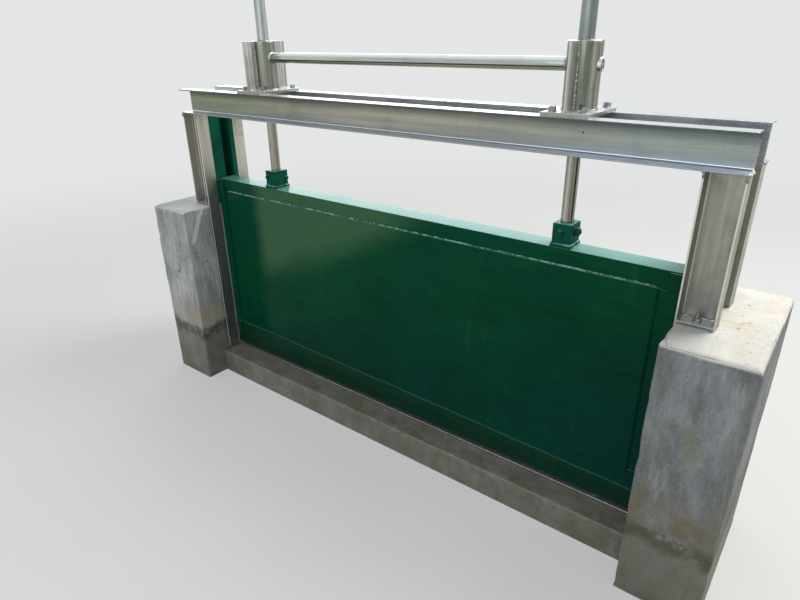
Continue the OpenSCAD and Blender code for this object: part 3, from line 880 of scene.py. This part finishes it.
# steelHalf: near the posts, within this of the middle, the inner corner stays sharp
castLook = {"cell": 0.016, "edgeCuts": (0.003, 0.006, 0.01, 0.015, 0.021), "wave": 0.0022, "grit": 0.0004,
            "chip": 0.006, "chipReach": 0.024, "arris": 0.0085, "cornerRound": 0.02, "steelHalf": 0.075,
            "steelFade": 0.04}


def gridCuts(low, high, look):
    near = [low + d for d in look["edgeCuts"]] + [high - d for d in look["edgeCuts"]]
    start, stop = low + look["edgeCuts"][-1], high - look["edgeCuts"][-1]
    count = max(1, round((stop - start) / look["cell"]))
    return sorted(near + [start + (stop - start) * i / count for i in range(1, count)])


# cast concrete: the CAD solid cut into a grid, then worn inwards
def castBlock(node, finishName, look, openEnds=False):
    shape = cleanCopy(node)
    low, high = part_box(node)
    for index in range(3):
        for place in gridCuts(low[index], high[index], look):
            normal = Vector((0, 0, 0))
            normal[index] = 1
            bmesh.ops.bisect_plane(shape, geom=shape.verts[:] + shape.edges[:] + shape.faces[:],
                                   plane_co=normal * place, plane_no=normal, dist=1e-5)
    bmesh.ops.remove_doubles(shape, verts=shape.verts, dist=2e-5)
    shape.normal_update()

    # the worn sides: axis, way out, limit
    hull = [(1, -1, low[1]), (1, 1, high[1]), (2, 1, high[2])]
    if not openEnds:
        hull += [(0, -1, low[0]), (0, 1, high[0])]

    def gaps(point):
        return sorted(way * (limit - point[index]) for index, way, limit in hull)

    def onHull(face):
        centre = face.calc_center_median()
        if face.normal.z <= -0.5 or centre.z <= low[2] + 1e-4:
            return False
        return gaps(centre)[0] < 1e-4 or face.normal.z > 0.05

    outer = {face for face in shape.faces if onHull(face)}
    moves = {}
    for vert in shape.verts:
        faces = [face for face in vert.link_faces if face in outer]
        if not faces or vert.co.z < low[2] + 1e-4:
            continue
        normal = sum((face.normal for face in faces), Vector()).normalized()
        p = vert.co
        rim = gaps(p)[1]
        swell = noise.fractal(p * 5, 1.0, 2.0, 3) * 0.5 + 0.5
        grit = noise.noise(p * 60) * 0.5 + 0.5
        amount = look["wave"] * max(0, min(1, swell)) + look["grit"] * grit
        near = max(0, 1 - rim / look["chipReach"])
        bite = max(0, noise.noise(p * 21 + Vector((7, 3, 1))) + 0.5 * noise.noise(p * 55) - 0.08)
        amount += look["chip"] * near * bite
        r = look["arris"] * (1 + 0.6 * noise.noise(p * 9))
        past = Vector((0, 0, 0))
        for index, way, limit in hull:
            past[index] += way * max(0, r - way * (limit - p[index]))
        reach = past.length
        out = past / reach if reach > 1e-6 else normal
        rounded = p - past * (1 - r / reach) if reach > r else p
        moves[vert] = rounded - out * amount
    for vert, place in moves.items():
        vert.co = place
    if not openEnds:
        inner, turn = (low[0], 1) if low[0] > 0 else (high[0], -1)
        for vert in shape.verts:
            room = max(0, min(1, (abs(vert.co.y) - look["steelHalf"]) / look["steelFade"]))
            r = look["cornerRound"] * room * (0.7 + 0.5 * noise.noise(vert.co * 12))
            across = abs(vert.co.x - inner)
            drop = high[2] - vert.co.z
            if r > 0.001 and across < r and drop < r:
                reach = math.hypot(r - across, r - drop)
                if reach > r:
                    vert.co.x = inner + turn * (r - (r - across) * r / reach)
                    vert.co.z = high[2] - (r - (r - drop) * r / reach)
    bmesh.ops.recalc_face_normals(shape, faces=shape.faces)
    piece = addPiece(node + "_cast", meshOf(shape, node + "_cast"), finishName, bodyOf[node], sharp=60)
    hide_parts(node)


castBlock("pier_left", "sunnyConcrete", castLook)
castBlock("pier_right", "shadedConcrete", castLook)
castBlock("sill_beam", "concrete", dict(castLook, cell=0.02), openEnds=True)
print("stage: concrete worn")

# welds: the beads' radii, how far they stand out, and the drops beside them
weld = {"wing": 0.0042, "ring": 0.0034, "fillet": 0.003, "skin": 0.0042, "post": 0.0034, "blob": 0.0048,
        "out": 0.0012, "drops": 26, "drop": 0.0014}
boxes = {name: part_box(name) for name in cad}
stemX = (boxes["stem_right"][0].x + boxes["stem_right"][1].x) / 2
stemY = (boxes["stem_right"][0].y + boxes["stem_right"][1].y) / 2


def weldHousing(side):
    low, high = boxes[f"gear_housing_{side}"]
    wingLow, wingHigh = boxes[f"housing_wings_{side}"]
    centre = sides[side] * stemX
    pipe = (high.y - low.y) / 2
    half = (wingHigh.x - wingLow.x) / 2
    joints = Stock()
    seed = 10 + sides[side]
    lip = weld["wing"] * 0.5
    for across in (-1, 1):
        x = centre + across * (half + lip * 0.4)
        edge = centre + across * (half + weld["out"])
        foot = low.z + weld["out"]
        reach = math.sqrt((pipe + lip) ** 2 - (x - centre) ** 2)
        for y in (stemY - reach, stemY + reach):
            seed += 3
            joints.bead([(x, y, low.z + 0.002), (x, y, high.z - 0.002)], weld["wing"], seed, up=(1, 0, 0))
        for start, stop in ((wingLow.y + 0.004, stemY - reach), (stemY + reach, wingHigh.y - 0.004)):
            seed += 3
            joints.bead([(edge, start, foot), (edge, stop, foot)], weld["fillet"], seed)
    joints.bead(circlePath((centre, stemY, low.z + 0.001), pipe + 0.0014), weld["ring"], seed + 3, loop=True)
    cover = (boxes[f"stem_cover_{side}"][1].x - boxes[f"stem_cover_{side}"][0].x) / 2
    top = boxes[f"housing_lid_{side}"][1].z
    lidRing = circlePath((centre, stemY, top + 0.0008), cover + 0.001)
    joints.bead(lidRing, weld["fillet"] * 0.8, seed + 7, loop=True)
    chance = random.Random(seed)
    drops = [(centre + chance.uniform(-1, 1) * 0.02, wingLow.y + chance.uniform(0.01, 0.045),
              low.z + 0.0004) for _ in range(weld["drops"])]
    joints.spatter(drops, weld["drop"], seed)
    addStock(f"housing_welds_{side}", joints, "bead", "frame")


# bedded and proud: how far from the stem the lip starts and ends
lipLook = {"inner": 0.0192, "wall": 0.0026, "bedded": 0.0425, "proud": 0.0495,
           "finish": {"left": "crank", "right": "housing"}}


# the lip of the bush round the cross shaft: bright on the left, a painted highlight, and the housing's steel on
# the right
def bushLip(side):
    low, high = boxes["cross_shaft"]
    centre = sides[side] * (stemX - lipLook["bedded"])
    lips = Stock()
    lips.washer(aimed((centre, (low.y + high.y) / 2, (low.z + high.z) / 2), (-sides[side], 0, 0)),
                lipLook["inner"] + lipLook["wall"], lipLook["inner"], lipLook["proud"] - lipLook["bedded"])
    addStock(f"bush_lip_{side}", lips, lipLook["finish"][side], "frame")


def weldFrame(side):
    joints = Stock()
    seed = 60 + 7 * sides[side]
    for row, turn in (("front", -1), ("back", 1)):
        low, high = boxes[f"{row}_post_{side}"]
        web, tip = (high.y, low.y) if turn < 0 else (low.y, high.y)
        end, top = tip - turn * 0.0006, high.z - 0.0006
        for x, away in ((low.x, -1), (high.x, 1)):
            seed += 2
            joints.bead([(x + away * 0.0008, web, top), (x + away * 0.0008, tip, top)], weld["post"], seed)
            joints.bead([(x - away * 0.0022, end, high.z - 0.001), (x - away * 0.0018, end, high.z - 0.016)],
                        weld["post"], seed + 1)
        low, high = boxes[f"foot_plate_{row}_{side}"]
        web, tip = (high.y, low.y) if turn < 0 else (low.y, high.y)
        left, right, top = low.x + 0.001, high.x - 0.001, high.z + 0.0006
        web, tip = web + turn * 0.001, tip - turn * 0.003
        seed += 2
        path = [(left, tip, top), (left, web, top), (right, web, top), (right, tip, top)]
        joints.bead(path, weld["post"], seed)
    addStock(f"post_welds_{side}", joints, "bead", "frame")


ribs = {"thick": 0.008, "count": 4, "end": 0.004}
skinBlob = [(-0.9947, 0.0006, 0.5795), (-0.994, 0.0002, 0.5845)]  # on the skin's left edge, Y from its front


def weldLeaf():
    low, high = boxes["leaf_skin"]
    seam, out = high.y - 0.001, 0.0011
    seams = Stock()
    seams.bead([(low.x + 0.004, seam, high.z + out), (high.x - 0.004, seam, high.z + out)],
               weld["skin"], 31, up=(0, 1, 0))
    edges = Stock()
    left, right, foot = low.x - out, high.x + out, low.z - out
    path = [(left, seam, high.z), (left, seam, foot), (right, seam, foot), (right, seam, high.z)]
    edges.bead(path, weld["skin"] * 0.8, 33, up=(0, 1, 0))
    edges.bead([(x, low.y + y, z) for x, y, z in skinBlob], weld["blob"], 35, up=(0, 1, 0))
    addStock("leaf_edge_welds", edges, "leaf", "leaf")
    ribLow, ribHigh = boxes["leaf_ribs"]
    for i in range(ribs["count"]):
        middle = ribLow.x + ribs["thick"] / 2 + (ribHigh.x - ribLow.x - ribs["thick"]) * i / (ribs["count"] - 1)
        for across in (-1, 1):
            x, y = middle + across * ribs["thick"] / 2, high.y + 0.0005
            seams.bead([(x, y, ribLow.z + ribs["end"]), (x, y, ribHigh.z - ribs["end"])],
                       weld["fillet"], 40 + 3 * i + across, up=(0, 1, 0))
    addStock("leaf_welds", seams, "paintedBead", "leaf")


def weldCoupling(side):
    joints = Stock()
    centre = sides[side] * stemX
    top = boxes["leaf_top_rail"][1].z
    low, high = boxes[f"coupling_{side}"]
    shaped = cad[f"coupling_{side}"].data
    pad = max(v.co.z for v in shaped.vertices if v.co.z < top + 0.02)
    block = [v.co for v in shaped.vertices if v.co.z > top + 0.03]
    half = max(abs(p.x - centre) for p in block)
    left, right = centre - half - 0.0008, centre + half + 0.0008
    front, back = min(p.y for p in block) - 0.0008, max(p.y for p in block) + 0.0008
    joints.bead([(left, front, pad), (right, front, pad), (right, back, pad), (left, back, pad)],
                weld["ring"], 80 + sides[side], loop=True)
    for x in (low.x, high.x):
        joints.bead([(x, low.y + 0.003, top + 0.0006), (x, high.y - 0.003, top + 0.0006)],
                    weld["fillet"], 84 + sides[side])
    addStock(f"coupling_welds_{side}", joints, "paintedBead", "leaf")


for side in sides:
    weldHousing(side)
    bushLip(side)
    weldFrame(side)
    weldCoupling(side)
weldLeaf()
print("stage: welds laid")

# bolts on the base plates, foot plates and couplings; those with a thread show its end
plateBolt = {"across": 0.019, "height": 0.0115, "washer": 0.0125, "thick": 0.002}
plateHoles = {"offX": 0.046, "rows": (-0.093, 0.074)}
anchorBolt = {"across": 0.018, "height": 0.01, "washer": 0.0125, "thick": 0.002, "thread": 0.01,
              "length": 0.016, "offY": -0.002}
bigBolt = {"across": 0.022, "height": 0.009, "washer": 0.0155, "thick": 0.002, "length": 0.008}
smallBolt = dict(bigBolt, across=0.014, washer=0.009)
# the left front one passes the front beam's web when the leaf is up
shortBolt = dict(smallBolt, height=0.006, thread=0.008)
thinBolt = dict(bigBolt, across=0.012, washer=0.008, thread=0.007)
tallBolt = dict(bigBolt, height=0.012, thread=0.011)
# place, way out of the block, bolt, spin
couplingBolts = {
    "left": [((-0.6727, -0.051, 1.019), (0, -1, 0), shortBolt, 0.3),
             ((-0.6727, 0.017, 1.019), (0, 1, 0), smallBolt, 0.5),
             ((-0.625, 0.0065, 1.014), (1, 0, 0), thinBolt, 0.1)],
    "right": [((0.647, -0.051, 1.016), (0, -1, 0), bigBolt, 0.2),
              ((0.647, 0.017, 1.016), (0, 1, 0), bigBolt, 0.7),
              ((0.685, -0.017, 1.02), (1, 0, 0), tallBolt, 0.4)],
}


def setBolt(stock, place, axis, look, spin):
    at = aimed(place, axis, spin)
    stock.washer(at, look["washer"], look["across"] * 0.28, look["thick"])
    stock.hexagon(at, look["across"], look["height"], look["thick"])
    if "thread" in look:
        top = Matrix.Translation((0, 0, look["thick"] + look["height"]))
        stock.thread(aimed(place, axis) @ top, look["thread"], look["length"] - 0.004)


chance = random.Random(5)
for side, sign in sides.items():
    top = boxes[f"base_plate_{side}"][1].z
    bolts = Stock()
    for y in plateHoles["rows"]:
        for across in (-1, 1):
            place = (sign * stemX + across * plateHoles["offX"], y, top)
            setBolt(bolts, place, (0, 0, 1), plateBolt, chance.uniform(0, 1))
    addStock(f"plate_bolts_{side}", bolts, "bolt", "frame", 25)
    anchors = Stock()
    for row in ("front", "back"):
        low, high = boxes[f"foot_plate_{row}_{side}"]
        place = ((low.x + high.x) / 2, (low.y + high.y) / 2 + anchorBolt["offY"], high.z)
        setBolt(anchors, place, (0, 0, 1), anchorBolt, chance.uniform(0, 1))
    addStock(f"anchor_nuts_{side}", anchors, "bolt", "frame", 25)
for side, places in couplingBolts.items():
    bolts = Stock()
    for bolt in places:
        setBolt(bolts, *bolt)
    addStock(f"coupling_bolts_{side}", bolts, "block", "leaf", 25)
print("stage: bolts set")

bpy.context.view_layer.update()
